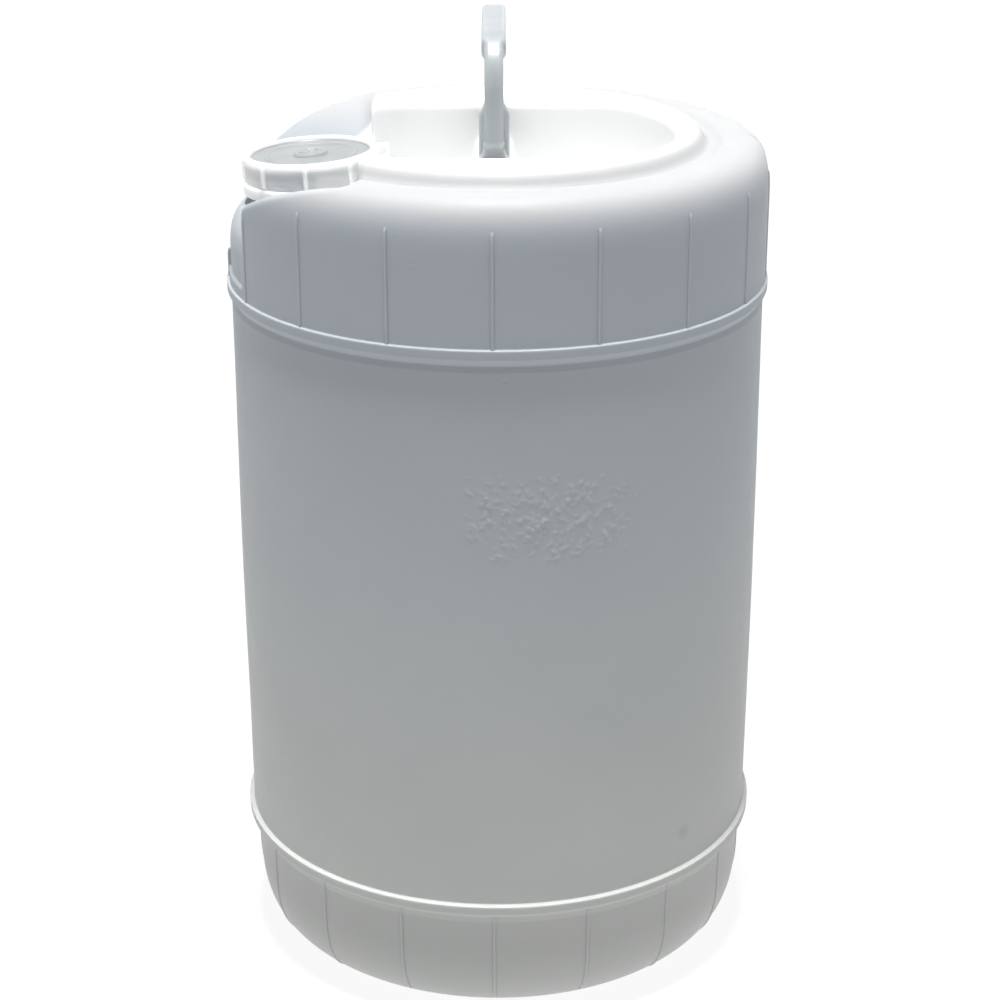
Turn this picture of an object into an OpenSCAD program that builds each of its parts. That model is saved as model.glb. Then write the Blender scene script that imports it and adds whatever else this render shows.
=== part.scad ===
// Tight-head plastic drum of about 57 litres, with a wide screw-capped mouth
// in a pouring recess and one swing handle that folds into a well in the head.
// Millimetres. Origin: centre of the base, on the surface the drum stands on.
// +Z is up, the mouth is towards -X and the handle turns about the Y direction.

/* [Body] */
// Outer radius of the straight side wall
body_r = 184.2; // [180:0.1:188]
// Outer radius of the shoulder band above the upper bead
shoulder_r = 185.2; // [184.5:0.1:188.5]
// Outer radius of the upper rolling bead
bead_r = 187.2; // [186.5:0.1:190]
// Outer radius of the lower rolling bead
low_bead_r = 187.9; // [186.5:0.1:190]
// Wall thickness of the moulded shell
wall_t = 3; // [2:0.1:3.6]
// Height of the upper bead's flat top
top_bead_z = 497.3; // [470:0.1:510]
// Height of the lower bead's flat top
low_bead_z = 97.5; // [92:0.1:120]
// Number of thin upright ribs on the shoulder band and on the base band
rib_n = 17; // [8:1:24]
// How far a rib stands out
rib_h = 0.8; // [0.4:0.1:1.2]

/* [Head] */
// Height of the outer rim of the head
rim_z = 592.5; // [588:0.1:600]
// Height of the smooth lip around the handle well
lip_z = 598.6; // [596:0.1:604]
// Half width of the handle well, across the handle's pivot axis
well_hw = 88; // [86:0.5:92]
// Radius of the well's curved end
well_r = 121; // [119:0.5:124]
// Height of the well's floor
well_floor_z = 530; // [515:1:538]

/* [Mouth] */
// Distance of the neck from the drum's centre
neck_off = 126; // [122:0.5:128]
// Height of the deck around the neck, on the neck's axis
deck_z = 554.5; // [552:0.5:556]
// Slope of the recess's side faces in degrees
recess_slope = 24.5; // [20:0.5:28]
// Where the raised lip ends beside the recess, as a distance from the drum's centre
lip_end = 90; // [86:0.5:91]
// Outward lean of the neck in degrees
neck_lean = 3.3; // [2:0.1:4]
// Radius of the neck's bore
bore_r = 35; // [30:0.5:36]
// Outer radius of the cap's skirt
cap_r = 45; // [44.8:0.1:46]
// Rise of the thread in one turn
thread_pitch = 6; // [5.6:0.1:6.4]
// Number of grip ribs on the cap
grip_n = 9; // [6:1:12]

/* [Handle] */
// Distance of the handle's pivot axis from the drum's centre, towards the well's curved end
pivot_x = -2; // [-4:0.1:-2]
// Height of the handle's pivot axis
pivot_z = 562; // [560:0.5:564]
// Height of the upright handle's top
handle_top_z = 671; // [650:0.5:671]
// Half width of the handle over its legs
handle_hw = 80; // [78:0.5:80]
// Width of the grip in the direction the handle swings
grip_w = 16; // [13:0.5:18]
// Width of the legs in the same direction
leg_w = 12.3; // [10:0.1:13]
// Radius of the pivot pins
pin_r = 5; // [4:0.1:6]

/* [Hidden] */

$fn = 144;
neck_x = -neck_off;
recess_r = 60;          // radius of the pouring recess around the neck
tower_r = 56;           // radius of the deck where it stands up in the well
well_left = 92;         // reach of the well towards the mouth
neck_root_r = 39.6;     // outside of the neck between its threads
neck_top = 20.1;        // height of the neck's sealing land above the deck
fit = 0.06;             // running clearance of the handle on its pins
snug = 0.02;            // clearance of a pressed pin in its lug
rib_turn = -1;          // turn of the rib pattern
shell_col = [0.90, 0.91, 0.91];
cap_col = [0.84, 0.87, 0.87];

// Point of a superellipse quarter, q from 0 to 90 degrees
function sup(a, b, n, q) = [a * pow(abs(cos(q)), 2 / n), b * pow(abs(sin(q)), 2 / n)];

// Lower corner from the standing ring to the base band, grown inwards by g
function base_curve(g) = [for (i = [0:14]) let (p = sup(58 - g, 66 - g, 3, 90 - i * 90 / 14))
    [122.7 + p[0], 66 - p[1]]];
// Upper corner from the shoulder band to the rim
function rim_curve(g, r, z) = [for (i = [0:12]) let (p = sup(25.2 - g, 38.2 - g, 3, i * 90 / 12))
    [r - 25.2 + p[0], z - 38.2 + p[1]]];

function outer_profile() = concat(
    [[0, 3.5], [104, 3.5], [112, 0]],
    base_curve(0),
    [[181.2, low_bead_z - 16], [182, low_bead_z - 11], [low_bead_r, low_bead_z - 6.5],
     [low_bead_r, low_bead_z - 1], [low_bead_r - 0.4, low_bead_z - 0.2], [body_r, low_bead_z],
     [body_r, top_bead_z - 15], [body_r - 0.9, top_bead_z - 11.6], [bead_r, top_bead_z - 6.4],
     [bead_r, top_bead_z - 0.8], [bead_r - 0.6, top_bead_z], [shoulder_r, top_bead_z]],
    rim_curve(0, shoulder_r, rim_z),
    [[152.5, rim_z - 1.4], [146.6, rim_z - 3.9], [143.4, rim_z - 2.6], [140, lip_z - 4.6],
     [136, lip_z - 1.2], [131.7, lip_z], [126, lip_z - 0.3], [118, lip_z - 1], [0, lip_z - 1.3]]);

function inner_profile() = concat(
    [[0, 3.5 + wall_t], [105, 3.5 + wall_t], [113, wall_t]],
    base_curve(wall_t),
    [[181 - wall_t, low_bead_z - 14], [body_r - wall_t, low_bead_z - 4],
     [body_r - wall_t, top_bead_z - 18], [body_r - wall_t - 0.6, top_bead_z - 11],
     [shoulder_r - wall_t, top_bead_z - 2]],
    rim_curve(wall_t, shoulder_r, rim_z),
    [[152, rim_z - 1.4 - wall_t], [145.2, rim_z - 4.4 - wall_t], [138.6, lip_z - 5.4 - wall_t],
     [132, lip_z - 0.6 - wall_t], [118, lip_z - 1.1 - wall_t], [0, lip_z - 1.3 - wall_t]]);

// Section across the pouring recess: 2D x is Y, 2D y is Z, lowered by g square to the sloping faces
function slope_section(g) = let (z0 = deck_z + 1 - g / cos(recess_slope), w = 120, h = w * tan(recess_slope))
    [[-recess_r - w, z0 + h], [-recess_r, z0], [recess_r, z0], [recess_r + w, z0 + h],
     [recess_r + w, 690], [-recess_r - w, 690]];

// Frame of the neck: centre of the neck on the deck, +Z along the leaning axis
module at_neck() translate([neck_x, 0, deck_z]) rotate([0, -neck_lean, 0]) children();

// Handle well, grown by g on every side
module well(g) difference() {
    translate([0, 0, well_floor_z - g]) linear_extrude(120) intersection() {
        circle(r = well_r + g);
        translate([-well_left - g, -well_hw - g]) square([2 * well_r + well_left, 2 * (well_hw + g)]);
    }
    translate([neck_x, 0, well_floor_z - 20]) cylinder(r = tower_r - g, h = 200);
}

// Pouring recess around the neck, open to the side, grown by g
module recess(g) difference() {
    union() {
        translate([neck_x, 0, 518]) cylinder(r = recess_r + g, h = 130);
        // slot through the side, wider towards the outside
        translate([0, 0, 518]) linear_extrude(130) polygon([
            [neck_x, -recess_r - g], [neck_x, recess_r + g], [-140, recess_r + g], [-200, recess_r + 27 + g],
            [-200, -recess_r - 27 - g], [-140, -recess_r - g]]);
        // faces that slope up from the deck to the rim, beyond the ends of the raised lip
        translate([-200, 0, 0]) rotate([90, 0, 90]) linear_extrude(200 - lip_end + g) polygon(slope_section(g));
    }
    // what is kept: below the leaning deck and inside the low rounded corner
    intersection() {
        rotate_extrude() polygon(concat(
            [[0, 480], [shoulder_r - g, 480]],
            [for (i = [0:10]) [shoulder_r - 32 + (32 - g) * cos(i * 9), 522 + (32 - g) * sin(i * 9)]],
            [[150, 566], [0, 566]]));
        at_neck() translate([-120, -120, -100 - g]) cube([260, 240, 100]);
    }
}

// Boss on the well's end wall that carries a pivot pin; side is -1 or 1
module lug(side) translate([pivot_x, side < 0 ? -well_hw - wall_t / 2 : handle_hw + 0.6, 0])
    rotate([-90, 0, 0]) linear_extrude(well_hw + wall_t / 2 - handle_hw - 0.6)
    union() {
        translate([0, -pivot_z]) circle(r = 11.5);
        polygon([[-11.5, -pivot_z], [11.5, -pivot_z], [20, -pivot_z + 22], [-20, -pivot_z + 22]]);
    }

// One helical thread ridge. Rings of four points follow the helix.
module ridge(r_root, r_tip, w_root, w_tip, h0, turns) {
    n = ceil(turns * 40);
    out = r_tip > r_root;
    k = function (i) min(1, 0.12 + i / 4, 0.12 + (n - i) / 4);
    pts = [for (i = [0:n]) let (a = 360 * turns * i / n, z = h0 + thread_pitch * turns * i / n,
                                rt = r_root + (r_tip - r_root) * k(i),
                                ring = [[r_root, -w_root / 2], [rt, -w_tip / 2], [rt, w_tip / 2], [r_root, w_root / 2]])
        for (p = (out ? ring : [ring[3], ring[2], ring[1], ring[0]]))
            [p[0] * cos(a), p[0] * sin(a), z + p[1]]];
    faces = concat([[3, 2, 1, 0]],
        [for (i = [0:n - 1]) for (j = [0:3]) let (a = 4 * i + j, b = 4 * i + (j + 1) % 4) [a, b, b + 4]],
        [for (i = [0:n - 1]) for (j = [0:3]) let (a = 4 * i + j, b = 4 * i + (j + 1) % 4) [a, b + 4, a + 4]],
        [[4 * n, 4 * n + 1, 4 * n + 2, 4 * n + 3]]);
    polyhedron(points = pts, faces = faces);
}

module drum_shell() color(shell_col) difference() {
    union() {
        difference() {
            union() {
                rotate_extrude() polygon(outer_profile());
                // upright ribs on the shoulder band and on the base band
                for (i = [0:rib_n - 1]) rotate([0, 0, -90 + rib_turn + i * 360 / rib_n]) {
                    translate([shoulder_r - 1.5, -1.1, top_bead_z - 0.5]) cube([1.5 + rib_h, 2.2, 64]);
                    translate([179, -1.1, 34]) cube([1.9 + rib_h, 2.2, 50]);
                }
            }
            well(0);
            recess(0);
        }
        lug(-1);
        lug(1);
        at_neck() translate([0, 0, -5]) cylinder(r = neck_root_r, h = neck_top + 5);
        // bead that holds the tamper ring on the neck
        at_neck() rotate_extrude() polygon([[38, 5.6], [neck_root_r, 5.6], [42.3, 6.2], [42.3, 6.8],
                                            [neck_root_r, 8.2], [38, 8.2]]);
        at_neck() ridge(neck_root_r - 0.3, 42.2, 2.6, 1.2, 11.6, 1.1);
    }
    difference() {
        rotate_extrude() polygon(inner_profile());
        well(wall_t);
        recess(wall_t);
    }
    at_neck() translate([0, 0, -14]) cylinder(r = bore_r, h = 60);
    for (s = [-1, 1]) translate([pivot_x, s * (handle_hw + 4.6), pivot_z]) rotate([90, 0, 0])
        cylinder(r = pin_r + snug, h = 8, center = true);
}

module screw_cap() color(cap_col) at_neck() difference() {
    union() {
        rotate_extrude() polygon([[0, 21.9], [43.2, 21.9], [43.2, 9.4], [cap_r + 0.3, 9.4], [cap_r, 12],
                                  [cap_r, 26.5], [cap_r - 0.7, 27.3], [42.4, 27.3], [41.5, 26.4],
                                  [40.6, 24.3], [0, 24.3]]);
        translate([0, 0, 21.9]) cylinder(r = 11.5, h = 4.7);
        for (i = [0:grip_n - 1]) rotate([0, 0, -51 + i * 360 / grip_n])
            translate([cap_r - 1, -1.2, 10.6]) cube([3.4, 2.4, 15.2]);
        // tab with a hole for a seal wire
        translate([cap_r - 1, -1.5, 17.2]) cube([9, 3, 12.2]);
        // starts a third of a turn on, so it lies a third of a pitch under the neck's thread
        rotate([0, 0, 120]) ridge(43.5, 41, 2.6, 1.2, 11.6, 1.1);
    }
    translate([0, 0, 20]) cylinder(r = 5, h = 10);
    translate([0, 0, 23.4]) cylinder(r = 8.05, h = 10);
    translate([cap_r + 3.6, 0, 24.6]) rotate([90, 0, 0]) cylinder(r = 2, h = 10, center = true);
}

module cap_liner() color([0.93, 0.93, 0.90]) at_neck() translate([0, 0, neck_top]) difference() {
    cylinder(r = 42.7, h = 1.8);
    translate([0, 0, -1]) cylinder(r = 6, h = 4);
}

module tamper_ring() color(cap_col) at_neck() rotate_extrude()
    polygon([[40.4, 2], [46, 0.8], [47.1, 1.6], [47.5, 3], [47.5, 6.6], [47.1, 8], [46, 8.8],
             [43, 8.8], [43, 5.2], [40.4, 4.4]]);

module vent_plug() color([0.80, 0.84, 0.85]) at_neck() difference() {
    translate([0, 0, 23.9]) cylinder(r = 8, h = 3);
    for (i = [0:2]) rotate([0, 0, i * 120 + 20]) translate([4, 0, 20]) cylinder(r = 1.1, h = 10);
}

module vent_membrane() color([0.97, 0.97, 0.97]) at_neck() translate([0, 0, 23.4]) cylinder(r = 7.9, h = 0.5);

// Outline of the handle seen along X: 2D x is Y, 2D y is the height above the pivot
module bail_outline(w) {
    top = handle_top_z - pivot_z;
    difference() {
        union() {
            translate([-handle_hw, 0]) square([2 * handle_hw, top - 34]);
            translate([-handle_hw + 34, top - 40]) square([2 * handle_hw - 68, 40]);
            for (s = [-1, 1]) translate([s * (handle_hw - 34), top - 34]) circle(r = 34);
        }
        translate([-handle_hw + 9.5, -40]) square([2 * handle_hw - 19, top - 34 + 40]);
        translate([-handle_hw + 34, -40]) square([2 * handle_hw - 68, top - 14 + 40]);
        for (s = [-1, 1]) translate([s * (handle_hw - 9.5 - 20), top - 34]) circle(r = 20);
        translate([-handle_hw + 29.5, top - 40]) square([2 * handle_hw - 59, 26]);
    }
}

module swing_handle() color(cap_col) translate([pivot_x, 0, pivot_z]) difference() {
    union() {
        // legs and corners
        translate([-leg_w / 2, 0, 0]) rotate([90, 0, 90]) linear_extrude(leg_w) bail_outline();
        // wider grip between the corners
        translate([-grip_w / 2, 0, 0]) rotate([90, 0, 90]) linear_extrude(grip_w) intersection() {
            bail_outline();
            translate([-handle_hw + 18, 60]) square([2 * handle_hw - 36, 60]);
        }
        // broad feet around the pivot holes
        for (s = [-1, 1]) translate([0, s > 0 ? handle_hw - 9.5 : -handle_hw, 0]) rotate([-90, 0, 0])
            linear_extrude(9.5) union() {
                circle(r = 10.9);
                polygon([[-10.9, 0], [10.9, 0], [10.9, -29], [leg_w / 2, -37], [-leg_w / 2, -37], [-10.9, -29]]);
            }
    }
    rotate([90, 0, 0]) cylinder(r = pin_r + fit, h = 200, center = true);
}

// Pin pressed into the lug, with a flat head inside the handle's foot
module pivot_pin(side) color(cap_col) translate([pivot_x, 0, pivot_z]) rotate([side > 0 ? -90 : 90, 0, 0]) union() {
    translate([0, 0, handle_hw - 12.8]) cylinder(r = 8.5, h = 3);
    translate([0, 0, handle_hw - 11]) cylinder(r = pin_r, h = 19);
}
module pivot_pin_near() pivot_pin(-1);
module pivot_pin_far() pivot_pin(1);

drum_shell();
screw_cap();
cap_liner();
tamper_ring();
vent_plug();
vent_membrane();
swing_handle();
pivot_pin_near();
pivot_pin_far();
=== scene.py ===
import bpy
import math
import numpy as np
from mathutils import Matrix


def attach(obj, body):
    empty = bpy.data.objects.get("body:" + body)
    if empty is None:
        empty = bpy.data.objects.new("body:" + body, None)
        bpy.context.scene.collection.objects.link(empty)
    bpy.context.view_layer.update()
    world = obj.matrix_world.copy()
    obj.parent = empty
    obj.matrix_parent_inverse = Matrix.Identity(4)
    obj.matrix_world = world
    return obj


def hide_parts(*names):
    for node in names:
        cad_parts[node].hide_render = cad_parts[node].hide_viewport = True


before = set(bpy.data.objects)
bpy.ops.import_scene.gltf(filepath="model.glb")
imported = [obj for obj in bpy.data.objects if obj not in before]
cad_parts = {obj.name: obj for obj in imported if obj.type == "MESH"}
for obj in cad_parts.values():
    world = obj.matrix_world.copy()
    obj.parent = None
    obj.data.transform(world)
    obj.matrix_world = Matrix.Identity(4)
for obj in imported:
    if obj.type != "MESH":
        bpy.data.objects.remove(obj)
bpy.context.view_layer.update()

# ---------------------------------------------------------------- sizes, mm
BODY_R, SHOULDER_R, BEAD_R = 184.2, 185.2, 187.2
TOP_BEAD, LOW_BEAD = 497.3, 97.5
RIM_Z, LIP_Z, FLOOR_Z, DECK_Z = 592.5, 598.6, 530.0, 554.5
NECK_X, LEAN = -126.0, math.radians(3.3)
PIVOT_X, PIVOT_Z, HANDLE_TOP = -2.0, 562.0, 671.0
LOW_BEAD_R = 187.9
SLOPE, LIP_END = math.tan(math.radians(24.5)), 90.0
PITCH = 6.0
RIB_N, RIB_0 = 17, -91.0
SEAM_Z = 503.0


# ---------------------------------------------------------------- distance fields
def rmax(a, b, R):
    """Intersection with a round edge of radius R."""
    return np.minimum(np.maximum(a, b), -R) + np.hypot(np.maximum(a + R, 0), np.maximum(b + R, 0))


def rmin(a, b, R):
    """Union with a fillet of radius R."""
    return -rmax(-a, -b, R)


def rbox2(x, y, hx, hy, r):
    qx, qy = np.abs(x) - hx + r, np.abs(y) - hy + r
    return np.hypot(np.maximum(qx, 0), np.maximum(qy, 0)) + np.minimum(np.maximum(qx, qy), 0) - r


def smooth(t):
    t = np.clip(t, 0, 1)
    return t * t * (3 - 2 * t)


def catmull(pts, n):
    p = np.array(pts, float)
    p = np.vstack([2 * p[0] - p[1], p, 2 * p[-1] - p[-2]])
    out = []
    for i in range(1, len(p) - 2):
        for j in range(n):
            t = j / n
            out.append(0.5 * ((2 * p[i]) + (p[i + 1] - p[i - 1]) * t
                              + (2 * p[i - 1] - 5 * p[i] + 4 * p[i + 1] - p[i + 2]) * t * t
                              + (3 * p[i] - p[i - 1] - 3 * p[i + 1] + p[i + 2]) * t ** 3))
    out.append(p[-2])
    return np.array(out)


def revolved(poly, r, z, step=0.4):
    """Signed distance of a closed (r, z) polygon turned about Z, at broadcast r (x, y) and z."""
    poly = np.array(poly, float)
    a, b = poly, np.roll(poly, -1, 0)
    rg = np.arange(0, float(r.max()) + 2 * step, step)
    zv = np.asarray(z, float).ravel()
    P = np.stack(np.meshgrid(rg, zv, indexing="ij"), -1).reshape(-1, 1, 2)
    d2 = np.full(len(P), 1e18)
    inside = np.zeros(len(P), bool)
    for s, e in zip(a, b):
        se = e - s
        L = se @ se
        if L < 1e-12:
            continue
        w = P[:, 0] - s
        t = np.clip((w @ se) / L, 0, 1)
        q = w - t[:, None] * se
        d2 = np.minimum(d2, (q * q).sum(1))
        py, px = P[:, 0, 1], P[:, 0, 0]
        if s[1] != e[1]:
            c = ((s[1] > py) != (e[1] > py)) & (px < (e[0] - s[0]) * (py - s[1]) / (e[1] - s[1]) + s[0])
            inside ^= c
    d = np.sqrt(d2) * np.where(inside, -1, 1)
    T = d.reshape(len(rg), len(zv)).astype(np.float32)
    f = (r[:, :, 0] / step)
    i = np.minimum(f.astype(int), len(rg) - 2)
    f = (f - i).astype(np.float32)[:, :, None]
    return T[i] * (1 - f) + T[i + 1] * f


def at_neck(x, y, z):
    """Radius, angle and height in the leaning frame of the neck."""
    c, s = math.cos(LEAN), math.sin(LEAN)
    dx, dz = x - NECK_X, z - DECK_Z
    u = dx * c + dz * s
    h = -dx * s + dz * c
    return u, y + 0 * u, h


# ---------------------------------------------------------------- mesh tools
def new_object(name, verts, quads=None, tris=None, flat=False, scale=0.001):
    """A mesh object from arrays in millimetres."""
    me = bpy.data.meshes.new(name)
    nq = 0 if quads is None else len(quads)
    nt = 0 if tris is None else len(tris)
    me.vertices.add(len(verts))
    me.vertices.foreach_set("co", (np.asarray(verts, np.float64) * scale).astype(np.float32).ravel())
    loops = []
    if nq:
        loops.append(np.asarray(quads, np.int32).ravel())
    if nt:
        loops.append(np.asarray(tris, np.int32).ravel())
    loops = np.concatenate(loops)
    me.loops.add(len(loops))
    me.loops.foreach_set("vertex_index", loops)
    me.polygons.add(nq + nt)
    start = np.concatenate([np.arange(nq) * 4, nq * 4 + np.arange(nt) * 3]).astype(np.int32)
    me.polygons.foreach_set("loop_start", start)
    me.update(calc_edges=True)
    me.validate()
    me.polygons.foreach_set("use_smooth", np.full(len(me.polygons), not flat))
    ob = bpy.data.objects.new(name, me)
    bpy.context.scene.collection.objects.link(ob)
    return ob


def nets(field, lo, hi, h, passes=2):
    """Closed quad mesh of field = 0 (negative inside) on a grid of spacing h."""
    ax = [lo[i] + h * np.arange(int(math.ceil((hi[i] - lo[i]) / h)) + 1) for i in range(3)]
    x = ax[0].astype(np.float32)[:, None, None]
    y = ax[1].astype(np.float32)[None, :, None]
    z = ax[2].astype(np.float32)[None, None, :]
    F = np.ascontiguousarray(np.broadcast_to(field(x, y, z), [len(a) for a in ax])).astype(np.float32)
    S = F < 0
    n = np.zeros([s - 1 for s in F.shape], np.uint8)
    for a in (0, 1):
        for b in (0, 1):
            for c in (0, 1):
                n += S[a:S.shape[0] - 1 + a, b:S.shape[1] - 1 + b, c:S.shape[2] - 1 + c]
    active = (n > 0) & (n < 8)
    ijk = np.argwhere(active)
    idx = np.full(n.shape, -1, np.int32)
    idx[active] = np.arange(len(ijk))
    tot, cnt = np.zeros((len(ijk), 3)), np.zeros(len(ijk))
    corners = [(a, b, c) for a in (0, 1) for b in (0, 1) for c in (0, 1)]
    vals = {c: F[ijk[:, 0] + c[0], ijk[:, 1] + c[1], ijk[:, 2] + c[2]] for c in corners}
    for c in corners:
        for k in range(3):
            if c[k] == 0:
                e = list(c)
                e[k] = 1
                fa, fb = vals[c], vals[tuple(e)]
                m = (fa < 0) != (fb < 0)
                t = np.where(m, fa / np.where(m, fa - fb, 1), 0)
                p = np.tile(np.array(c, float), (len(ijk), 1))
                p[:, k] = t
                tot[m] += p[m]
                cnt[m] += 1
    V = ijk + tot / cnt[:, None]

    def trilinear(P):
        P = np.clip(P, 0, np.array(F.shape) - 1.001)
        i = P.astype(int)
        f = P - i
        out = 0
        for c in corners:
            w = np.prod([f[:, k] if c[k] else 1 - f[:, k] for k in range(3)], axis=0)
            out = out + w * F[i[:, 0] + c[0], i[:, 1] + c[1], i[:, 2] + c[2]]
        return out

    for _ in range(passes):
        g = np.stack([trilinear(V + np.eye(3)[k] * 0.6) - trilinear(V - np.eye(3)[k] * 0.6) for k in range(3)], -1) / 1.2
        move = -trilinear(V)[:, None] * g / np.maximum((g * g).sum(1), 1e-6)[:, None]
        V = np.clip(V + np.clip(move, -0.4, 0.4), ijk - 0.1, ijk + 1.1)
    faces = []
    for k in range(3):
        sa = [slice(None)] * 3
        sb = [slice(None)] * 3
        sa[k], sb[k] = slice(0, -1), slice(1, None)
        A, B = S[tuple(sa)], S[tuple(sb)]
        u, v = (k + 1) % 3, (k + 2) % 3
        cross = np.argwhere(A != B)
        ok = (cross[:, u] > 0) & (cross[:, v] > 0) & (cross[:, u] < n.shape[u]) & (cross[:, v] < n.shape[v])
        cross = cross[ok]
        out = A[cross[:, 0], cross[:, 1], cross[:, 2]]
        q = []
        for du, dv in ((-1, -1), (0, -1), (0, 0), (-1, 0)):
            c = cross.copy()
            c[:, u] += du
            c[:, v] += dv
            q.append(idx[c[:, 0], c[:, 1], c[:, 2]])
        q = np.stack(q, -1)
        q[~out] = q[~out][:, ::-1]
        faces.append(q)
    Q = np.concatenate(faces)
    return np.array(lo) + V * h, Q, ijk


def noise2(u, v, seed):
    """Smooth value noise, about -1 to 1."""
    rng = np.random.default_rng(seed)
    T = rng.uniform(-1, 1, (64, 64))
    iu, iv = np.floor(u).astype(int), np.floor(v).astype(int)
    fu, fv = smooth(u - iu), smooth(v - iv)
    g = lambda a, b: T[a % 64, b % 64]
    return ((g(iu, iv) * (1 - fu) + g(iu + 1, iv) * fu) * (1 - fv)
            + (g(iu, iv + 1) * (1 - fu) + g(iu + 1, iv + 1) * fu) * fv)


# ---------------------------------------------------------------- drum body
def sup(a, b, n, q):
    return a * np.abs(np.cos(q)) ** (2 / n), b * np.abs(np.sin(q)) ** (2 / n)


def rim_points(count=40):
    q = np.linspace(0, math.pi / 2, count)
    x, y = sup(25.2, 38.2, 3, q)
    return np.stack([SHOULDER_R - 25.2 + x, RIM_Z - 38.2 + y], -1)


LIP = catmull([[160.0, 592.5], [153.5, 591.6], [148.6, 589.4], [144.8, 588.3], [141.6, 590.6], [138.6, 594.8],
               [135.4, 597.7], [131.7, 598.6], [126, 598.4], [118, 597.9], [100, 597.6], [60, 597.4]], 8)


def body_profile():
    """Points (r, z) from the base's centre up to the seam, with small rounds at the corners."""
    q = np.linspace(math.pi / 2, 0, 46)
    bx, by = sup(58, 66, 3, q)
    corner = [(2.0, 3.6, 0), (40, 3.6, 0), (78, 3.3, 0), (103, 2.9, 0), (108.5, 1.0, 3), (113, 0.0, 3)]
    base = [(122.7 + a, 66 - b, 0) for a, b in zip(bx, by)]
    beads = [(181.1, LOW_BEAD - 16.5, 3), (182.2, LOW_BEAD - 11.4, 3), (LOW_BEAD_R - 0.1, LOW_BEAD - 6.4, 1.4),
             (LOW_BEAD_R, LOW_BEAD - 0.2, 1.1), (BODY_R, LOW_BEAD, 0.7), (BODY_R, 112, 0), (BODY_R, 130, 0),
             (BODY_R, 345, 0), (BODY_R, 351, 0), (BODY_R, 418, 0), (BODY_R, 424, 0), (BODY_R, 470, 0),
             (BODY_R, TOP_BEAD - 15.6, 4), (BODY_R - 1.0, TOP_BEAD - 11.4, 1.6), (BEAD_R - 0.1, TOP_BEAD - 6.6, 1.6),
             (BEAD_R, TOP_BEAD - 0.1, 0.9), (SHOULDER_R, TOP_BEAD, 0.7), (SHOULDER_R, SEAM_Z, 0)]
    pts = corner + base + beads
    P = []
    for i, (r, z, R) in enumerate(pts):
        p = np.array([r, z], float)
        if R == 0 or i == 0 or i == len(pts) - 1:
            P.append(p)
            continue
        a, b = np.array(pts[i - 1][:2], float) - p, np.array(pts[i + 1][:2], float) - p
        la, lb = np.linalg.norm(a), np.linalg.norm(b)
        a, b = a / la, b / lb
        ang = math.acos(max(-1, min(1, a @ b)))
        if ang > math.radians(176):
            P.append(p)
            continue
        t = min(R / math.tan(ang / 2), 0.48 * la, 0.48 * lb)
        s, e = p + a * t, p + b * t
        for k in range(6):
            w = k / 5
            P.append((1 - w) ** 2 * s + 2 * w * (1 - w) * p + w ** 2 * e)
    return np.array(P)


def refine(P, step):
    """step(z) is the largest spacing allowed at height z."""
    out = [P[0]]
    for a, b in zip(P[:-1], P[1:]):
        n = max(1, int(math.ceil(np.linalg.norm(b - a) / step((a[0] + b[0]) / 2, (a[1] + b[1]) / 2))))
        for k in range(1, n + 1):
            out.append(a + (b - a) * k / n)
    return np.array(out)


def pebbles(az, z):
    """Height of the stippled patch on the front of the side wall, in mm."""
    rng = np.random.default_rng(11)
    h = np.zeros_like(az + z)
    s = np.radians(az) * BODY_R
    n = 0
    while n < 430:
        cs, cz = rng.uniform(-22, 94), rng.uniform(354, 413)
        u, v = (cs - 34) / 56, (cz - 384) / 27
        keep = math.exp(-(abs(u) ** 2.6 + abs(v) ** 2.6) * 1.25)
        keep *= 0.55 + 0.45 * math.sin(cs * 0.19 + 1.1) * math.sin(cz * 0.23 + 0.4)
        if rng.uniform() > keep:
            rng.uniform(size=4)
            continue
        a, b, amp, turn = rng.uniform(0.9, 2.3), rng.uniform(0.7, 1.3), rng.uniform(0.10, 0.30), rng.uniform(0, math.pi)
        m = (np.abs(s - cs) < 6) & (np.abs(z - cz) < 6)
        if m.any():
            ds, dz = (s - cs)[m], (z - cz)[m]
            p = ds * math.cos(turn) + dz * math.sin(turn)
            q = -ds * math.sin(turn) + dz * math.cos(turn)
            h[m] += amp * np.exp(-(p / a) ** 2 - (q / b) ** 2)
        n += 1
    return h


def barrel(z):
    """The blown wall swells a little between the beads."""
    return 0.8 * np.sin(np.clip((z - 106) / 368, 0, 1) * math.pi) ** 1.3


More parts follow.
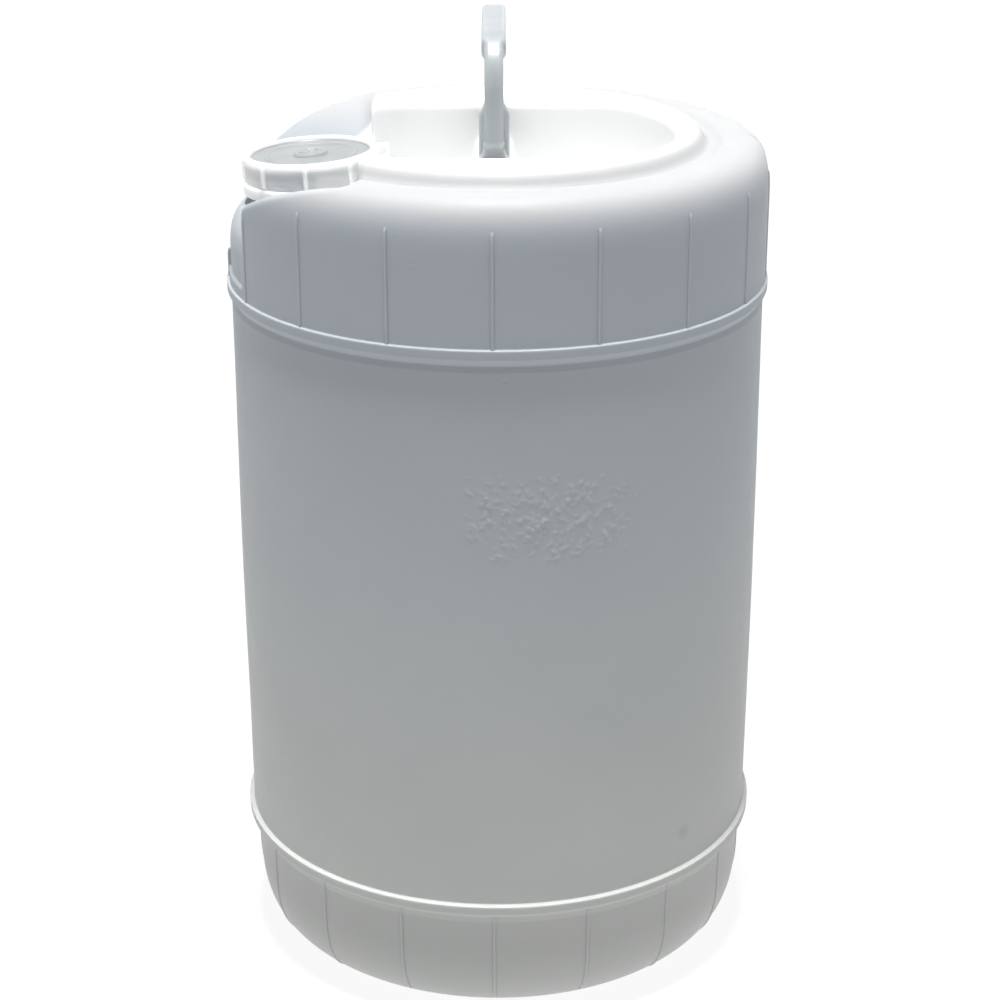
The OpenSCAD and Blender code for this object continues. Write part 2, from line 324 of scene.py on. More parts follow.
def body_mesh():
    def step(r, z):
        if z < 8:
            return 3.2
        if 350 < z < 418:
            return 0.85
        if 470 < z < 482:
            return 0.9
        if r < 184 and z < 80:
            return 2.2
        if 112 < z < 480:
            return 4.0
        return 1.6
    P = refine(body_profile(), step)
    az = [0.0]
    while az[-1] < 360:
        a = (az[-1] + 180) % 360 - 180
        near = -10 < a < 32
        az.append(az[-1] + (0.25 if near else 0.72))
    az = np.array(az[:-1])
    az = az * 360 / (az[-1] + 0.25)
    az = (az + 180) % 360 - 180  # 0 is -Y, towards +X
    az = np.sort(az)
    A, R = np.meshgrid(np.radians(az), P[:, 0])
    Z = np.repeat(P[:, 1][:, None], len(az), 1)
    deg = np.degrees(A)
    # slight unevenness of a blown wall, none at the beads
    s = np.abs(np.sin(A / 2)) * 0 + deg / 26
    wave = 0.16 * noise2(s % 64, Z / 62, 3) + 0.05 * noise2((s * 2.7) % 64, Z / 23, 4)
    seam_fade = smooth((180 - np.abs(deg)) / 12)
    mid = smooth((Z - 102) / 20) * smooth((480 - Z) / 20)
    D = wave * mid * seam_fade + barrel(Z)
    D += pebbles(deg, Z) * (mid > 0)
    # a small nick under the upper bead
    D -= 0.5 * np.exp(-((np.radians(deg - 1.6) * BODY_R) / 1.9) ** 2 - ((Z - 476) / 0.9) ** 2)
    R = R + D
    # pinch-off weld and a shallow ring under the base
    X, Y = R * np.sin(A), -R * np.cos(A)
    low = (R < 104) & (Z < 5)
    Z = Z - low * (1.1 * np.exp(-(Y / 1.3) ** 2) * smooth((96 - np.abs(X)) / 6)
                   + 0.5 * np.exp(-((R - 70) / 2.2) ** 2))
    V = np.stack([X, Y, Z], -1)
    nr, nc = R.shape
    i = np.arange(nr - 1)[:, None]
    j = np.arange(nc)[None, :]
    j1 = (j + 1) % nc
    q = np.stack([i * nc + j, i * nc + j1, (i + 1) * nc + j1, (i + 1) * nc + j], -1).reshape(-1, 4)
    verts = np.vstack([V.reshape(-1, 3), [[0, 0, 3.6 - 1.1]]])
    tris = np.stack([np.full(nc, nr * nc), (np.arange(nc) + 1) % nc, np.arange(nc)], -1)
    top = (nr - 1) * nc + np.arange(nc)
    return verts, q, tris, top


def head_field(x, y, z):
    r = np.hypot(x, y) + 0 * z[:, :, :1]
    poly = np.vstack([[[0, 470], [SHOULDER_R, 470]], rim_points(), LIP[1:], [[0, 597.4]]])
    d = revolved(poly, r, z)
    u, v, h = at_neck(x, y, z)
    rn = np.hypot(u, v)
    rn0 = np.hypot(x - NECK_X, y)
    # handle well
    w = rmax(rmax(np.hypot(x, y) - 121, np.abs(y) - 88, 16), -92 - x, 12)
    w = rmax(w, 56 - rn0, 9)
    w = w + (598 - z) * 0.006
    w = rmax(w, FLOOR_Z - z, 9)
    d = rmax(d, -w, 7.5)
    # pouring recess, open to the side
    keep = rmax(h + 0 * x, rbox2(np.hypot(x, y), z - 477, 185.2, 77, 32), 9)
    ay = np.abs(y)
    wedge = rmax((555.5 + np.maximum(ay - 60, 0) * SLOPE - z) * 0.91, x + LIP_END, 10)
    slot = np.maximum((ay - 60 - np.maximum(-140 - x, 0) * 0.45) * 0.93, x - NECK_X)
    rec = rmin(np.minimum(rn0 - 60, slot), wedge, 8)
    rec = rmax(rec - (z - 554) * 0.02, -keep, 7)
    d = rmax(d, -rec, 5)
    # bosses for the pivot pins
    lug = np.minimum(np.hypot(x - PIVOT_X, z - PIVOT_Z) - 11.5,
                     np.maximum(np.abs(x - PIVOT_X) - 11.5 - np.clip((PIVOT_Z - z) / 22, 0, 1) ** 1.25 * 8.5, z - PIVOT_Z))
    lug = np.maximum(lug, 536 - z)
    lug = rmax(lug * 0.93, 80.7 - np.abs(y), 1.4)
    lug = np.maximum(lug, np.abs(y) - 96)
    d = rmin(d, lug, 3.5)
    # mouth, and a dimple on the near lip
    d = np.maximum(d, -np.maximum(rn - 37, 514 - z))
    d = rmax(d, -(np.sqrt((x + 1) ** 2 + (y + 123) ** 2 + (z - 599.6) ** 2) - 2.3), 0.6)
    return d


def make_shell():
    h = 1.2
    lo = np.array([-187.2, -187.2, SEAM_Z + 1.0])
    hv, hq, ijk = nets(head_field, lo, [187.2, 187.2, 602], h)
    bv, bq, bt, top = body_mesh()
    nb = len(bv)
    ring = np.where(ijk[:, 2] == 0)[0]
    hv[ring, 2] = lo[2] + 0.5 * h
    f = SHOULDER_R / np.hypot(hv[ring, 0], hv[ring, 1])
    hv[ring, :2] *= f[:, None]
    ang = lambda p: np.arctan2(p[:, 0], -p[:, 1])
    a = top[np.argsort(ang(bv[top]))]
    b = ring[np.argsort(ang(hv[ring]))]
    ta, tb = ang(bv[a]), ang(hv[b])
    tris = []
    i = j = 0
    na, nn = len(a), len(b)
    while i < na or j < nn:
        xa = ta[i % na] + 2 * math.pi * (i // na)
        xb = tb[j % nn] + 2 * math.pi * (j // nn)
        na1 = ta[(i + 1) % na] + 2 * math.pi * ((i + 1) // na)
        nb1 = tb[(j + 1) % nn] + 2 * math.pi * ((j + 1) // nn)
        if j >= nn or (i < na and na1 <= nb1):
            tris.append((a[i % na], a[(i + 1) % na], nb + b[j % nn]))
            i += 1
        else:
            tris.append((a[i % na], nb + b[(j + 1) % nn], nb + b[j % nn]))
            j += 1
    verts = np.vstack([bv, hv])
    ob = new_object("drum_body", verts, np.vstack([bq, hq + nb]), np.vstack([bt, np.array(tris)]))
    return ob


def make_ribs():
    """Thin upright ribs that run down the shoulder band and the base band, set into the wall."""
    rim = rim_points(60)
    up = np.vstack([[[SHOULDER_R, TOP_BEAD - 0.6], [SHOULDER_R, 515], [SHOULDER_R, 535], [SHOULDER_R, 552]], rim[1:]])
    up = refine(up, lambda r, z: 2.0)
    q = np.linspace(math.radians(80), 0, 60)
    bx, by = sup(58, 66, 3, q)
    down = np.vstack([np.stack([122.7 + bx, 66 - by], -1), [[181.0, LOW_BEAD - 15.5], [182.3, LOW_BEAD - 10.6]]])
    down = refine(down, lambda r, z: 2.0)
    verts, quads = [], []

    def bar(path, az, wide, high, ends):
        t = np.gradient(path, axis=0)
        t /= np.linalg.norm(t, axis=1)[:, None]
        nrm = np.stack([t[:, 1], -t[:, 0]], -1)
        s = np.concatenate([[0], np.cumsum(np.linalg.norm(np.diff(path, axis=0), axis=1))])
        fade = np.ones(len(s))
        if ends[0]:
            fade *= smooth(s / ends[0])
        if ends[1]:
            fade *= smooth((s[-1] - s) / ends[1])
        sec = [(-0.5, -1.2), (-0.5, 0.0), (-0.42, 0.62), (-0.27, 0.93), (0, 1.0), (0.27, 0.93), (0.42, 0.62), (0.5, 0.0), (0.5, -1.2)]
        c, sn = math.cos(math.radians(az)), math.sin(math.radians(az))
        n0 = sum(len(v) for v in verts)
        rows = []
        for p, nn, f in zip(path, nrm, fade):
            for a, b in sec:
                hgt = b * high * f if b > 0 else b - 0.5 * (1 - f)
                pr = p + nn * hgt
                tx = a * wide
                rows.append([pr[0] * sn + tx * c, -pr[0] * c + tx * sn, pr[1]])
        m = len(sec)
        verts.append(rows)
        for i in range(len(path) - 1):
            for j in range(m):
                j1 = (j + 1) % m
                quads.append([n0 + i * m + j, n0 + (i + 1) * m + j, n0 + (i + 1) * m + j1, n0 + i * m + j1])
        caps.append([n0 + j for j in range(m)])
        caps.append([n0 + (len(path) - 1) * m + j for j in reversed(range(m))])
    caps = []
    for k in range(RIB_N):
        az = RIB_0 + 90 + k * 360 / RIB_N
        fromx = abs((az - 270 + 540) % 360 - 180)  # from -X, where the pouring recess cuts the rim away
        path = up[up[:, 1] < (518 if fromx < 20 else 557 if fromx < 30 else 573)]
        bar(path, az, 2.5, 0.85, (0, 3.0))
        bar(down[down[:, 1] > 9], az, 2.4, 0.75, (6.0, 0))
    # parting line of the two mould halves
    for az in (90, 270):
        side = np.array([[SHOULDER_R, z] for z in np.arange(499.5, 514, 2)])
        if az == 90:
            side = np.vstack([side, refine(np.vstack([[[SHOULDER_R, 515]], rim[1:55]]), lambda r, z: 2.0)])
        bar(side, az, 0.9, 0.3, (2, 8))
        bar(np.array([[BODY_R + barrel(z), z] for z in np.arange(99, 481, 3)]), az, 0.9, 0.3, (3, 3))
        bar(down[down[:, 1] > 3], az, 0.9, 0.35, (6.0, 3))
    V = np.vstack([np.array(v) for v in verts])
    me = bpy.data.meshes.new("drum_ribs")
    me.from_pydata([tuple(p * 0.001) for p in V], [], [tuple(q) for q in quads] + [tuple(c) for c in caps])
    me.validate()
    me.polygons.foreach_set("use_smooth", np.ones(len(me.polygons), bool))
    me.set_sharp_from_angle(angle=math.radians(50))
    ob = bpy.data.objects.new("drum_ribs", me)
    bpy.context.scene.collection.objects.link(ob)
    return ob


# ---------------------------------------------------------------- closure, in the neck's own frame
def neck_place(V):
    c, s = math.cos(LEAN), math.sin(LEAN)
    out = np.empty_like(V)
    out[:, 0] = NECK_X + V[:, 0] * c - V[:, 2] * s
    out[:, 1] = V[:, 1]
    out[:, 2] = DECK_Z + V[:, 0] * s + V[:, 2] * c
    return out


def helix(r, a, z, h0, a0, turns, root, tip):
    """Distance-like field of a thread ridge from radius root to tip."""
    out = 1e3
    k = (z - h0) / PITCH - a
    n = np.round(k)
    zc = h0 + PITCH * (n + a)
    t = n + a
    t = np.clip(t, 0, turns)
    zc = h0 + PITCH * t
    grow = np.clip(0.1 + t * 9, 0, 1) * np.clip(0.1 + (turns - t) * 9, 0, 1)
    run = root + (tip - root) * grow
    depth = np.abs(r - root) / abs(tip - root)
    flank = np.abs(z - zc) - (1.35 - 0.75 * depth) + np.abs(n + a - t) * 20
    lim = (r - run) if tip > root else (run - r)
    return rmax(flank, lim, 0.35)


def neck_field(x, y, z):
    r = np.hypot(x, y) + 0 * z
    a = (np.arctan2(y, x) / (2 * math.pi)) % 1.0
    d = rmax(r - 39.6, z - 20.1, 1.1)
    bead = rmax(np.abs(z - 6.9) - 1.25, r - 42.3, 0.7)
    d = rmin(d, bead, 0.5)
    d = rmin(d, np.maximum(helix(r, a, z, 11.6, 0, 1.1, 39.3, 42.2), 38 - r), 0.4)
    d = rmax(d, 35 - r, 0.8)
    return np.maximum(d, -8 - z)


def cap_field(x, y, z):
    r = np.hypot(x, y) + 0 * z
    a = np.arctan2(y, x)
    d = rmax(r - 45 - np.clip(12 - z, 0, 3) * 0.1, z - 27.3, 1.1)
    d = rmax(d, 9.4 - z, 0.5)
    # grip ribs
    for i in range(9):
        t = math.radians(-51 + 40 * i)
        u, v = x * math.cos(t) + y * math.sin(t), -x * math.sin(t) + y * math.cos(t)
        rib = rbox2(u - 44.9, v, 2.5, 1.35, 0.9)
        rib = rmax(rib, np.abs(z - 18.1) - 7.7, 0.9)
        d = rmin(d, rib, 0.7)
    # inside, with its thread
    inner = rmax(r - 43.2, z - 21.9, 1.0)
    aa = ((a / (2 * math.pi)) - 1 / 3) % 1.0
    inner = np.maximum(inner, -np.maximum(helix(r, aa, z, 11.6, 0, 1.1, 43.5, 41.0), r - 44.5))
    d = rmax(d, -inner, 0.3)
    # dished top with a low step and a centre boss
    d = rmax(d, -rmax(r - 41.2 - (z - 24.3) * 0.15, 24.3 - z, 1.3), 0.7)
    d = rmin(d, rmax(np.abs(r - 31) - 0.55, np.abs(z - 24.2) - 0.6, 0.4), 0.5)
    d = rmin(d, rmax(r - 11.5, np.abs(z - 24.4) - 2.2, 0.7), 1.0)
    d = rmax(d, -np.maximum(r - 8.05, 23.4 - z), 0.4)
    d = np.maximum(d, -(r - 5.0 + 0 * z))
    # tab for a seal wire
    tab = rmax(rbox2(x - 49.2, z - 23.3, 4.7, 6.1, 1.6), np.abs(y) - 1.5, 0.5)
    tab = np.maximum(tab, 43.9 - r)
    d = rmin(d, tab, 0.9)
    d = rmax(d, -(np.hypot(x - 49.2, z - 24.9) - 2.0), 0.35)
    return d


def ring_field(x, y, z):
    r = np.hypot(x, y) + 0 * z
    a = np.arctan2(y, x)
    d = rbox2(r - 45.25, z - 5.0, 2.25, 4.2, 1.7)
    d = rmin(d, rbox2(r - 42.9, z - 3.2, 2.5, 1.0, 0.5), 0.8)
    # broken bridges to the cap
    k = (a / math.radians(30)) % 1.0 - 0.5
    d = rmin(d, rmax(rmax(np.abs(k) * math.radians(30) * 45 - 0.6, np.abs(r - 44.6) - 0.6, 0.3),
                     np.abs(z - 8.2) - 1.0, 0.3), 0.3)
    return d


def plug_field(x, y, z):
    r = np.hypot(x, y) + 0 * z
    d = rmax(rmax(r - 8.0, z - 26.9, 0.5), 23.9 - z, 0.2)
    d = np.maximum(d, -np.maximum(np.hypot(r - 5.9, z - 26.9) - 0.45, 0 * r - 1))
    for i in range(3):
        t = math.radians(i * 120 + 20)
        d = rmax(d, -(np.hypot(x - 4 * math.cos(t), y - 4 * math.sin(t)) - 1.1), 0.25)
    return d


def make_closure():
    out = {}
    for name, f, lo, hi, h in (("drum_neck", neck_field, (-44, -44, -9.1), (44, 44, 21.5), 0.5),
                               ("cap_body", cap_field, (-48.6, -48.6, 8.5), (55, 48.6, 30.6), 0.42),
                               ("seal_ring", ring_field, (-48.4, -48.4, 0), (48.4, 48.4, 10), 0.5),
                               ("cap_vent", plug_field, (-8.6, -8.6, 23.3), (8.6, 8.6, 27.5), 0.26)):
        V, Q, _ = nets(f, lo, hi, h)
        out[name] = new_object(name, neck_place(V), Q)
    return out


# ---------------------------------------------------------------- handle and pins
def handle_field(x, y, z):
    x, zz = x - PIVOT_X, z - PIVOT_Z
    top = HANDLE_TOP - PIVOT_Z
    ay = np.abs(y)
    outer = rbox2(y, zz - (top - 83), 80, 83, 34)
    inner = rbox2(y, zz - (top - 14 - 90), 70.5, 90, 20)
    bow = np.maximum(np.maximum(outer, -inner), -zz)
    wide = smooth((64 - ay) / 5) * smooth((zz - 58) / 6)
    half = 6.15 + 1.85 * wide
    d = rmax(bow, np.abs(x) - half, 3.0)
    foot = np.where(zz > 0, np.abs(x) - 10.9 + 4.75 * smooth((zz - 27) / 11), np.hypot(x, zz) - 10.9)
    foot = np.maximum(foot, zz - 40)
    foot = rmax(foot, np.abs(ay - 75.25) - 4.75, 1.6)
    d = rmin(d, foot, 2.5)
    # shallow panel inside each foot
    d = rmax(d, -rmax(rbox2(x, zz - 21, 7.2, 8.5, 2.5) + 0 * y, ay - 71.4, 0.5), 0.5)
    return rmax(d, -(np.hypot(x, zz) - 5.06 + 0 * y), 0.4)


def pin_field(side):
    def f(x, y, z):
        r = np.hypot(x - PIVOT_X, z - PIVOT_Z)
        t = y * side
        d = rmax(r - 8.5, np.abs(t - 68.7) - 1.5, 0.8)
        d = rmin(d, rmax(r - 5.0, np.abs(t - 78.5) - 9.5, 0.6), 0.3)
        return rmax(d, -(np.hypot(r, t - 66.2) - 2.6), 0.3)
    return f


def make_handle():
    V, Q, _ = nets(handle_field, (-14, -81.2, 550), (10, 81.2, 672.4), 0.75)
    out = {"handle_bail": new_object("handle_bail", V, Q)}
    for side, name in ((-1, "pin_near"), (1, "pin_far")):
        lo, hi = (66.2, 89) if side > 0 else (-89, -66.2)
        V, Q, _ = nets(pin_field(side), (PIVOT_X - 9.4, lo, PIVOT_Z - 9.4), (PIVOT_X + 9.4, hi, PIVOT_Z + 9.4), 0.4)
        out[name] = new_object(name, V, Q)
    return out


# ---------------------------------------------------------------- materials
class Nodes:
    def __init__(self, name):
        self.m = bpy.data.materials.new(name)
        self.m.use_nodes = True
        self.t = self.m.node_tree
        self.t.nodes.clear()

    def add(self, kind, _in=None, **props):
        n = self.t.nodes.new(kind)
        for k, v in props.items():
            setattr(n, k, v)
        for k, v in (_in or {}).items():
            if isinstance(v, bpy.types.NodeSocket):
                self.t.links.new(v, n.inputs[k])
            else:
                n.inputs[k].default_value = v
        return n

    def ramp(self, fac, stops):
        n = self.t.nodes.new("ShaderNodeValToRGB")
        self.t.links.new(fac, n.inputs[0])
        e = n.color_ramp.elements
        while len(e) < len(stops):
            e.new(0.5)
        for el, (p, c) in zip(e, stops):
            el.position = p
            el.color = (c, c, c, 1) if not hasattr(c, "__len__") else (*c, 1)
        return n.outputs["Color"]


def hdpe(name, light, dark, sss, radius, rough, grain, scuff=1.0, smudge=False, foot=None, dish=None, spec=0.5, glow=0.0):
    """Milky moulded polyethylene: soft colour clouds, fine mould grain, scuffs and handling marks."""
    n = Nodes(name)
    co = n.add("ShaderNodeTexCoord").outputs["Object"]
    cloud = n.add("ShaderNodeTexNoise", {"Vector": co, "Scale": 7.0, "Detail": 3.0, "Roughness": 0.55}).outputs["Fac"]
    fine = n.add("ShaderNodeTexNoise", {"Vector": co, "Scale": 55.0, "Detail": 4.0, "Roughness": 0.6}).outputs["Fac"]
    col = n.ramp(cloud, [(0.3, dark), (0.7, light)])
    if foot:
        # painted bounce light: the lower wall is brightened and warmed, standing in for light bounced up from the pale
        # floor
        zed = n.add("ShaderNodeSeparateXYZ", {"Vector": co}).outputs["Z"]
        up = n.add("ShaderNodeMapRange", {0: zed, 1: 0.04, 2: 0.56, 3: 0.0, 4: 1.0}, interpolation_type="SMOOTHSTEP").outputs[0]
        bounce_light_mix = n.add("ShaderNodeMix", data_type="RGBA", blend_type="MULTIPLY")
        n.t.links.new(n.add("ShaderNodeMath", {0: 1.0, 1: up}, operation="SUBTRACT").outputs[0], bounce_light_mix.inputs["Factor"])
        n.t.links.new(col, bounce_light_mix.inputs[6])
        bounce_light_mix.inputs[7].default_value = (*foot, 1)
        col = bounce_light_mix.outputs[2]
        # painted light: the head is painted paler than the side wall, a lit copy of the same plastic for the overhead
        # light falling on it
        head_light_mask = n.add("ShaderNodeMapRange", {0: zed, 1: 0.566, 2: 0.590, 3: 0.0, 4: 1.0}, interpolation_type="SMOOTHSTEP").outputs[0]
        head = n.add("ShaderNodeMix", data_type="RGBA", blend_type="MIX")
        n.t.links.new(head_light_mask, head.inputs["Factor"])
        n.t.links.new(col, head.inputs[6])
        head.inputs[7].default_value = (0.462, 0.467, 0.472, 1)
        col = head.outputs[2]
        # the thin walls of the well glow paler, since light comes through them from both sides
        sep = n.add("ShaderNodeSeparateXYZ", {"Vector": co}).outputs
        xx = n.add("ShaderNodeMath", {0: sep["X"], 1: sep["X"]}, operation="MULTIPLY").outputs[0]
        rad = n.add("ShaderNodeMath", {0: n.add("ShaderNodeMath", {0: sep["Y"], 1: sep["Y"], 2: xx}, operation="MULTIPLY_ADD").outputs[0]}, operation="SQRT").outputs[0]
        inn = n.add("ShaderNodeMapRange", {0: rad, 1: 0.128, 2: 0.140, 3: 1.0, 4: 0.0}, interpolation_type="SMOOTHSTEP").outputs[0]
        hi = n.add("ShaderNodeMapRange", {0: sep["Z"], 1: 0.500, 2: 0.520, 3: 0.0, 4: 1.0}).outputs[0]
        pale = n.add("ShaderNodeMix", data_type="RGBA", blend_type="MIX")
        n.t.links.new(n.add("ShaderNodeMath", {0: inn, 1: hi}, operation="MULTIPLY").outputs[0], pale.inputs["Factor"])
        n.t.links.new(col, pale.inputs[6])
        pale.inputs[7].default_value = (0.865, 0.87, 0.87, 1)
        col = pale.outputs[2]
    if dish:
        # painted shade: the cap's dished top is painted greyer than its skirt, standing in for light passing through
        # the milky top
        rel = n.add("ShaderNodeVectorMath", {0: co, 1: (NECK_X / 1000, 0, DECK_Z / 1000)}, operation="SUBTRACT").outputs[0]
        u = n.add("ShaderNodeVectorMath", {0: rel, 1: (math.cos(LEAN), 0, math.sin(LEAN))}, operation="DOT_PRODUCT").outputs["Value"]
        hh = n.add("ShaderNodeVectorMath", {0: rel, 1: (-math.sin(LEAN), 0, math.cos(LEAN))}, operation="DOT_PRODUCT").outputs["Value"]
        v = n.add("ShaderNodeSeparateXYZ", {"Vector": rel}).outputs["Y"]
        uu = n.add("ShaderNodeMath", {0: u, 1: u}, operation="MULTIPLY").outputs[0]
        rr = n.add("ShaderNodeMath", {0: n.add("ShaderNodeMath", {0: v, 1: v, 2: uu}, operation="MULTIPLY_ADD").outputs[0]}, operation="SQRT").outputs[0]
        inside = n.add("ShaderNodeMapRange", {0: rr, 1: 0.0408, 2: 0.0422, 3: 1.0, 4: 0.0}).outputs[0]
        above = n.add("ShaderNodeMapRange", {0: hh, 1: 0.0222, 2: 0.0232, 3: 0.0, 4: 1.0}).outputs[0]
        dish_shade_mix = n.add("ShaderNodeMix", data_type="RGBA", blend_type="MULTIPLY")
        n.t.links.new(n.add("ShaderNodeMath", {0: inside, 1: above}, operation="MULTIPLY").outputs[0], dish_shade_mix.inputs["Factor"])
        n.t.links.new(col, dish_shade_mix.inputs[6])
        dish_shade_mix.inputs[7].default_value = (*dish, 1)
        col = dish_shade_mix.outputs[2]
    # scuffs: stretched noise, a little lighter than the wall
    mapn = n.add("ShaderNodeMapping", {"Vector": co, "Scale": (9.0, 9.0, 60.0), "Rotation": (0.35, 0.2, 0.0)}).outputs["Vector"]
    scr = n.add("ShaderNodeTexNoise", {"Vector": mapn, "Scale": 9.0, "Detail": 5.0, "Roughness": 0.75, "Distortion": 0.4}).outputs["Fac"]
    scr = n.ramp(scr, [(0.60, 0.0), (0.72, 1.0)])
    patch = n.ramp(n.add("ShaderNodeTexNoise", {"Vector": co, "Scale": 11.0, "Detail": 2.0}).outputs["Fac"], [(0.48, 0.0), (0.66, 1.0)])
    scuffs = n.add("ShaderNodeMath", {0: scr, 1: patch}, operation="MULTIPLY").outputs[0]
    mix = n.add("ShaderNodeMix", data_type="RGBA", blend_type="MIX")
    fac = n.add("ShaderNodeMath", {0: scuffs, 1: 0.10 * scuff}, operation="MULTIPLY").outputs[0]
    n.t.links.new(fac, mix.inputs["Factor"])
    n.t.links.new(col, mix.inputs[6])
    mix.inputs[7].default_value = (0.93, 0.94, 0.94, 1)
    colour = mix.outputs[2]
    # faint specks of dust and dark inclusions
    vor = n.add("ShaderNodeTexVoronoi", {"Vector": co, "Scale": 42.0, "Randomness": 1.0}).outputs["Distance"]
    dots = n.ramp(vor, [(0.0, 1.0), (0.035, 0.0)])
    rare = n.ramp(n.add("ShaderNodeTexNoise", {"Vector": co, "Scale": 17.0}).outputs["Fac"], [(0.56, 0.0), (0.60, 1.0)])
    dot = n.add("ShaderNodeMath", {0: dots, 1: rare}, operation="MULTIPLY").outputs[0]
    mix2 = n.add("ShaderNodeMix", data_type="RGBA", blend_type="MIX")
    n.t.links.new(n.add("ShaderNodeMath", {0: dot, 1: 0.28}, operation="MULTIPLY").outputs[0], mix2.inputs["Factor"])
    n.t.links.new(colour, mix2.inputs[6])
    mix2.inputs[7].default_value = (0.42, 0.41, 0.38, 1)
    colour = mix2.outputs[2]
    if smudge:
        # one soft grey smudge low on the right of the front
        sx, sy = 184.0 * math.sin(math.radians(45)) / 1000, -184.0 * math.cos(math.radians(45)) / 1000
        d = n.add("ShaderNodeVectorMath", {0: co, 1: (sx, sy, 0.124)}, operation="DISTANCE").outputs["Value"]
        wob = n.add("ShaderNodeMath", {0: fine, 1: 0.006}, operation="MULTIPLY").outputs[0]
        d = n.add("ShaderNodeMath", {0: d, 1: wob}, operation="ADD").outputs[0]
        sm = n.ramp(n.add("ShaderNodeMath", {0: d, 1: 80.0}, operation="MULTIPLY").outputs[0], [(0.30, 1.0), (0.85, 0.0)])
        mix3 = n.add("ShaderNodeMix", data_type="RGBA", blend_type="MIX")
        n.t.links.new(n.add("ShaderNodeMath", {0: sm, 1: 0.30}, operation="MULTIPLY").outputs[0], mix3.inputs["Factor"])
        n.t.links.new(colour, mix3.inputs[6])
        mix3.inputs[7].default_value = (0.25, 0.25, 0.26, 1)
        colour = mix3.outputs[2]
    r = n.add("ShaderNodeMapRange", {0: fine, 1: 0.3, 2: 0.7, 3: rough - 0.06, 4: rough + 0.07}).outputs[0]
    r = n.add("ShaderNodeMath", {0: scuffs, 1: 0.14, 2: r}, operation="MULTIPLY_ADD").outputs[0]
    micro = n.add("ShaderNodeTexNoise", {"Vector": co, "Scale": 900.0, "Detail": 2.0, "Roughness": 0.5}).outputs["Fac"]
    peel = n.add("ShaderNodeTexNoise", {"Vector": co, "Scale": 190.0, "Detail": 2.0, "Roughness": 0.5}).outputs["Fac"]
    b = n.add("ShaderNodeBump", {"Height": peel, "Strength": 0.16 * grain, "Distance": 0.0006}).outputs[0]
    b = n.add("ShaderNodeBump", {"Height": micro, "Strength": 0.22 * grain, "Distance": 0.0002, "Normal": b}).outputs[0]
    b = n.add("ShaderNodeBump", {"Height": scuffs, "Strength": 0.25 * scuff, "Distance": 0.00015, "Normal": b}, invert=True).outputs[0]
    p = n.add("ShaderNodeBsdfPrincipled", {"Base Color": colour, "Roughness": r, "Normal": b})
    p.inputs["IOR"].default_value = 1.52
    if glow:
        # light carried inside the milky part
        n.t.links.new(colour, p.inputs["Emission Color"])
        p.inputs["Emission Strength"].default_value = glow
    p.inputs["Specular IOR Level"].default_value = spec
    p.inputs["Subsurface Weight"].default_value = sss
    p.inputs["Subsurface Radius"].default_value = (1.0, 0.97, 0.92)
    p.inputs["Subsurface Scale"].default_value = radius
    out = n.add("ShaderNodeOutputMaterial", {"Surface": p.outputs[0]})
    return n.m


def paint(ob, mat):
    ob.data.materials.clear()
    ob.data.materials.append(mat)


# ---------------------------------------------------------------- build
# shell_mat paints light: foot brightens the lower wall as floor bounce, and the head and the well walls are painted
# paler
shell_mat = hdpe("hdpe_shell", (0.350, 0.380, 0.412), (0.335, 0.366, 0.398), 0.35, 0.006, 0.46, 1.0, smudge=True,
                 foot=(1.30, 1.22, 1.10), spec=0.12)
# cap_mat paints shade: dish darkens the cap's dished top
cap_mat = hdpe("hdpe_closure", (0.95, 0.965, 0.95), (0.93, 0.95, 0.94), 1.0, 0.020, 0.34, 0.5, 0.7, dish=(0.33, 0.34, 0.35), glow=0.07)
handle_mat = hdpe("hdpe_handle", (0.36, 0.385, 0.40), (0.345, 0.375, 0.385), 1.0, 0.006, 0.36, 0.6, 0.8, glow=0.12)
vent_mat = hdpe("hdpe_vent", (0.34, 0.36, 0.365), (0.31, 0.33, 0.34), 0.5, 0.003, 0.38, 0.5, 0.5)
pin_mat = hdpe("hdpe_pin", (0.66, 0.68, 0.68), (0.62, 0.65, 0.655), 0.4, 0.003, 0.36, 0.5, 0.6)
liner_mat = hdpe("foam_liner", (0.82, 0.82, 0.79), (0.76, 0.76, 0.73), 0.3, 0.003, 0.7, 1.8, 0.3)
film_mat = hdpe("vent_film", (0.88, 0.88, 0.88), (0.84, 0.84, 0.84), 0.2, 0.001, 0.6, 1.2, 0.2)

shell = make_shell()
ribs = make_ribs()
closure = make_closure()
handle = make_handle()

for ob, mat, body, node, slot in (
        (shell, shell_mat, "drum", "drum_shell", "shell"), (ribs, shell_mat, "drum", None, "shell"),
        (closure["drum_neck"], shell_mat, "drum", None, "shell"),
        (closure["seal_ring"], cap_mat, "drum", "tamper_ring", "closure"),
        (closure["cap_body"], cap_mat, "cap", "screw_cap", "closure"),
        (closure["cap_vent"], vent_mat, "cap", "vent_plug", "vent"),
        (handle["handle_bail"], handle_mat, "handle", "swing_handle", "handle"),
        (handle["pin_near"], pin_mat, "drum", "pivot_pin_near", "pin"),
        (handle["pin_far"], pin_mat, "drum", "pivot_pin_far", "pin")):
    paint(ob, mat)
    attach(ob, body)
    if node:
        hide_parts(node)

for node, mat in (("cap_liner", liner_mat), ("vent_membrane", film_mat)):
    paint(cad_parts[node], mat)

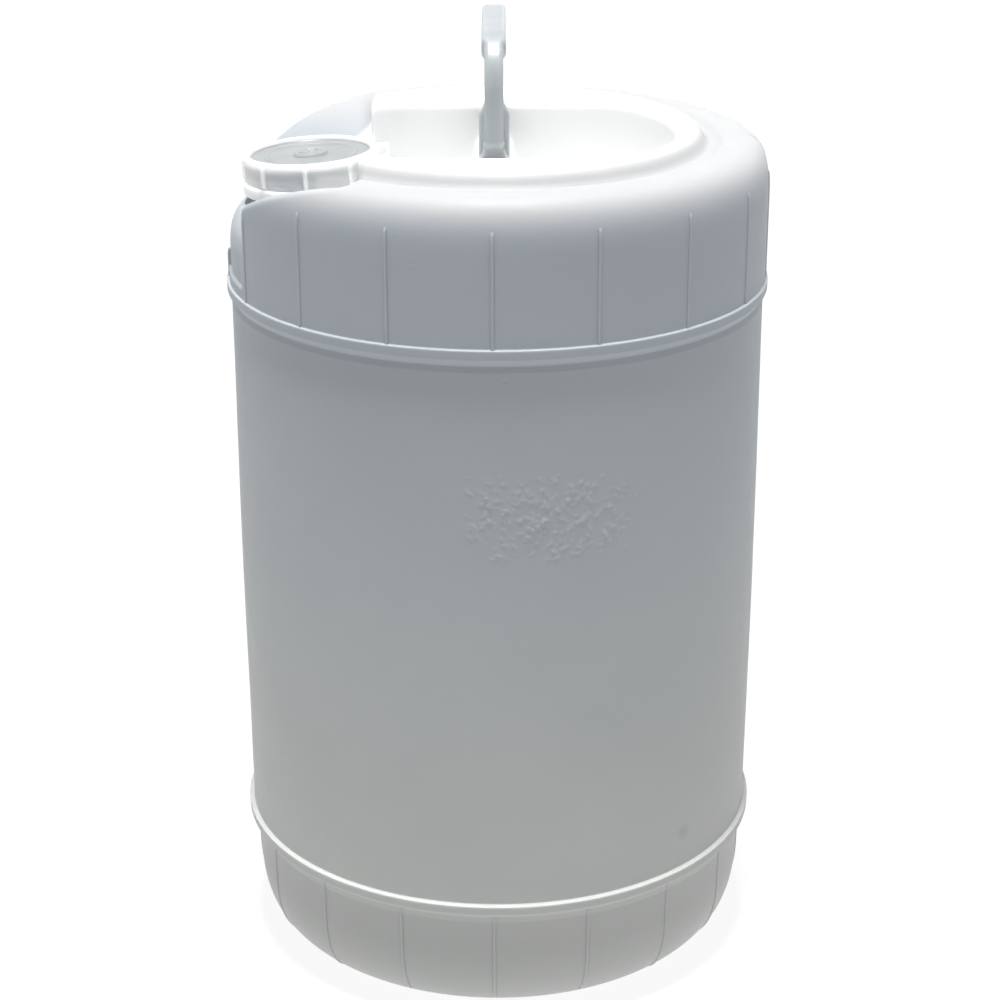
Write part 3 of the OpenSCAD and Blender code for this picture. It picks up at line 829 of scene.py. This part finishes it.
# ---------------------------------------------------------------- stage
# a white sweep lit from below, so that it stays pale around the drum
fm = Nodes("floor_paper")
fco = fm.add("ShaderNodeTexCoord").outputs["Object"]
fno = fm.add("ShaderNodeTexNoise", {"Vector": fco, "Scale": 3.0, "Detail": 2.0}).outputs["Fac"]
fcol = fm.ramp(fno, [(0.3, (0.055, 0.055, 0.055)), (0.7, (0.062, 0.062, 0.062))])
fp = fm.add("ShaderNodeBsdfPrincipled", {"Base Color": fcol, "Roughness": 0.9})
fp.inputs["Specular IOR Level"].default_value = 0.1
fp.inputs["Emission Color"].default_value = (1.0, 1.0, 1.0, 1)
fp.inputs["Emission Strength"].default_value = 0.92
fm.add("ShaderNodeOutputMaterial", {"Surface": fp.outputs[0]})
fv = [(-60, -60, 0), (60, -60, 0), (60, 60, 0), (-60, 60, 0)]
fme = bpy.data.meshes.new("floor")
fme.from_pydata(fv, [], [(0, 1, 2, 3)])
floor = bpy.data.objects.new("floor", fme)
bpy.context.scene.collection.objects.link(floor)
paint(floor, fm.m)

scene = bpy.context.scene
world = bpy.data.worlds.new("studio")
scene.world = world
world.use_nodes = True
bg = world.node_tree.nodes["Background"]
bg.inputs["Color"].default_value = (1.0, 1.0, 1.0, 1)
# a white wall all round the studio, up to about 17 degrees above the floor, and a dim ceiling
wt = world.node_tree
wco = wt.nodes.new("ShaderNodeTexCoord")
wsep = wt.nodes.new("ShaderNodeSeparateXYZ")
wmap = wt.nodes.new("ShaderNodeMapRange")
wt.links.new(wco.outputs["Generated"], wsep.inputs[0])
wt.links.new(wsep.outputs["Z"], wmap.inputs[0])
for k, v in ((1, 0.27), (2, 0.38), (3, 0.96), (4, 0.06)):
    wmap.inputs[k].default_value = v
wt.links.new(wmap.outputs[0], bg.inputs["Strength"])


def area(name, loc, target, size, power, colour=(1, 1, 1)):
    li = bpy.data.lights.new(name, "AREA")
    li.shape = "RECTANGLE"
    li.size, li.size_y = size
    li.energy = power
    li.color = colour
    ob = bpy.data.objects.new(name, li)
    scene.collection.objects.link(ob)
    d = (Matrix.Translation(target).to_translation() - Matrix.Translation(loc).to_translation())
    ob.location = loc
    ob.rotation_euler = d.to_track_quat("-Z", "Y").to_euler()
    return ob


sun = bpy.data.lights.new("overhead", "SUN")
sun.energy = 6.1
sun.angle = math.radians(7)
sun_ob = bpy.data.objects.new("overhead", sun)
scene.collection.objects.link(sun_ob)
sun_ob.rotation_euler = (math.radians(3.5), math.radians(-1.0), 0)

cam = bpy.data.cameras.new("camera")
cam_ob = bpy.data.objects.new("camera", cam)
scene.collection.objects.link(cam_ob)
cam.sensor_width = 36
cam.lens = 2409.2166 * 36 / 1000
cam.shift_x = 0.0020
cam.shift_y = 0.06526
cam.clip_start, cam.clip_end = 0.05, 60
cam_ob.matrix_world = (Matrix.Translation((0, -1.62528, 0.95606)) @ Matrix.Rotation(math.pi / 2 - 0.3974, 4, "X")
                       @ Matrix.Rotation(-0.0023, 4, "Z"))
scene.camera = cam_ob
scene.view_settings.view_transform = "Standard"
scene.view_settings.look = "None"
scene.view_settings.exposure = 0.0
scene.view_settings.gamma = 1.0
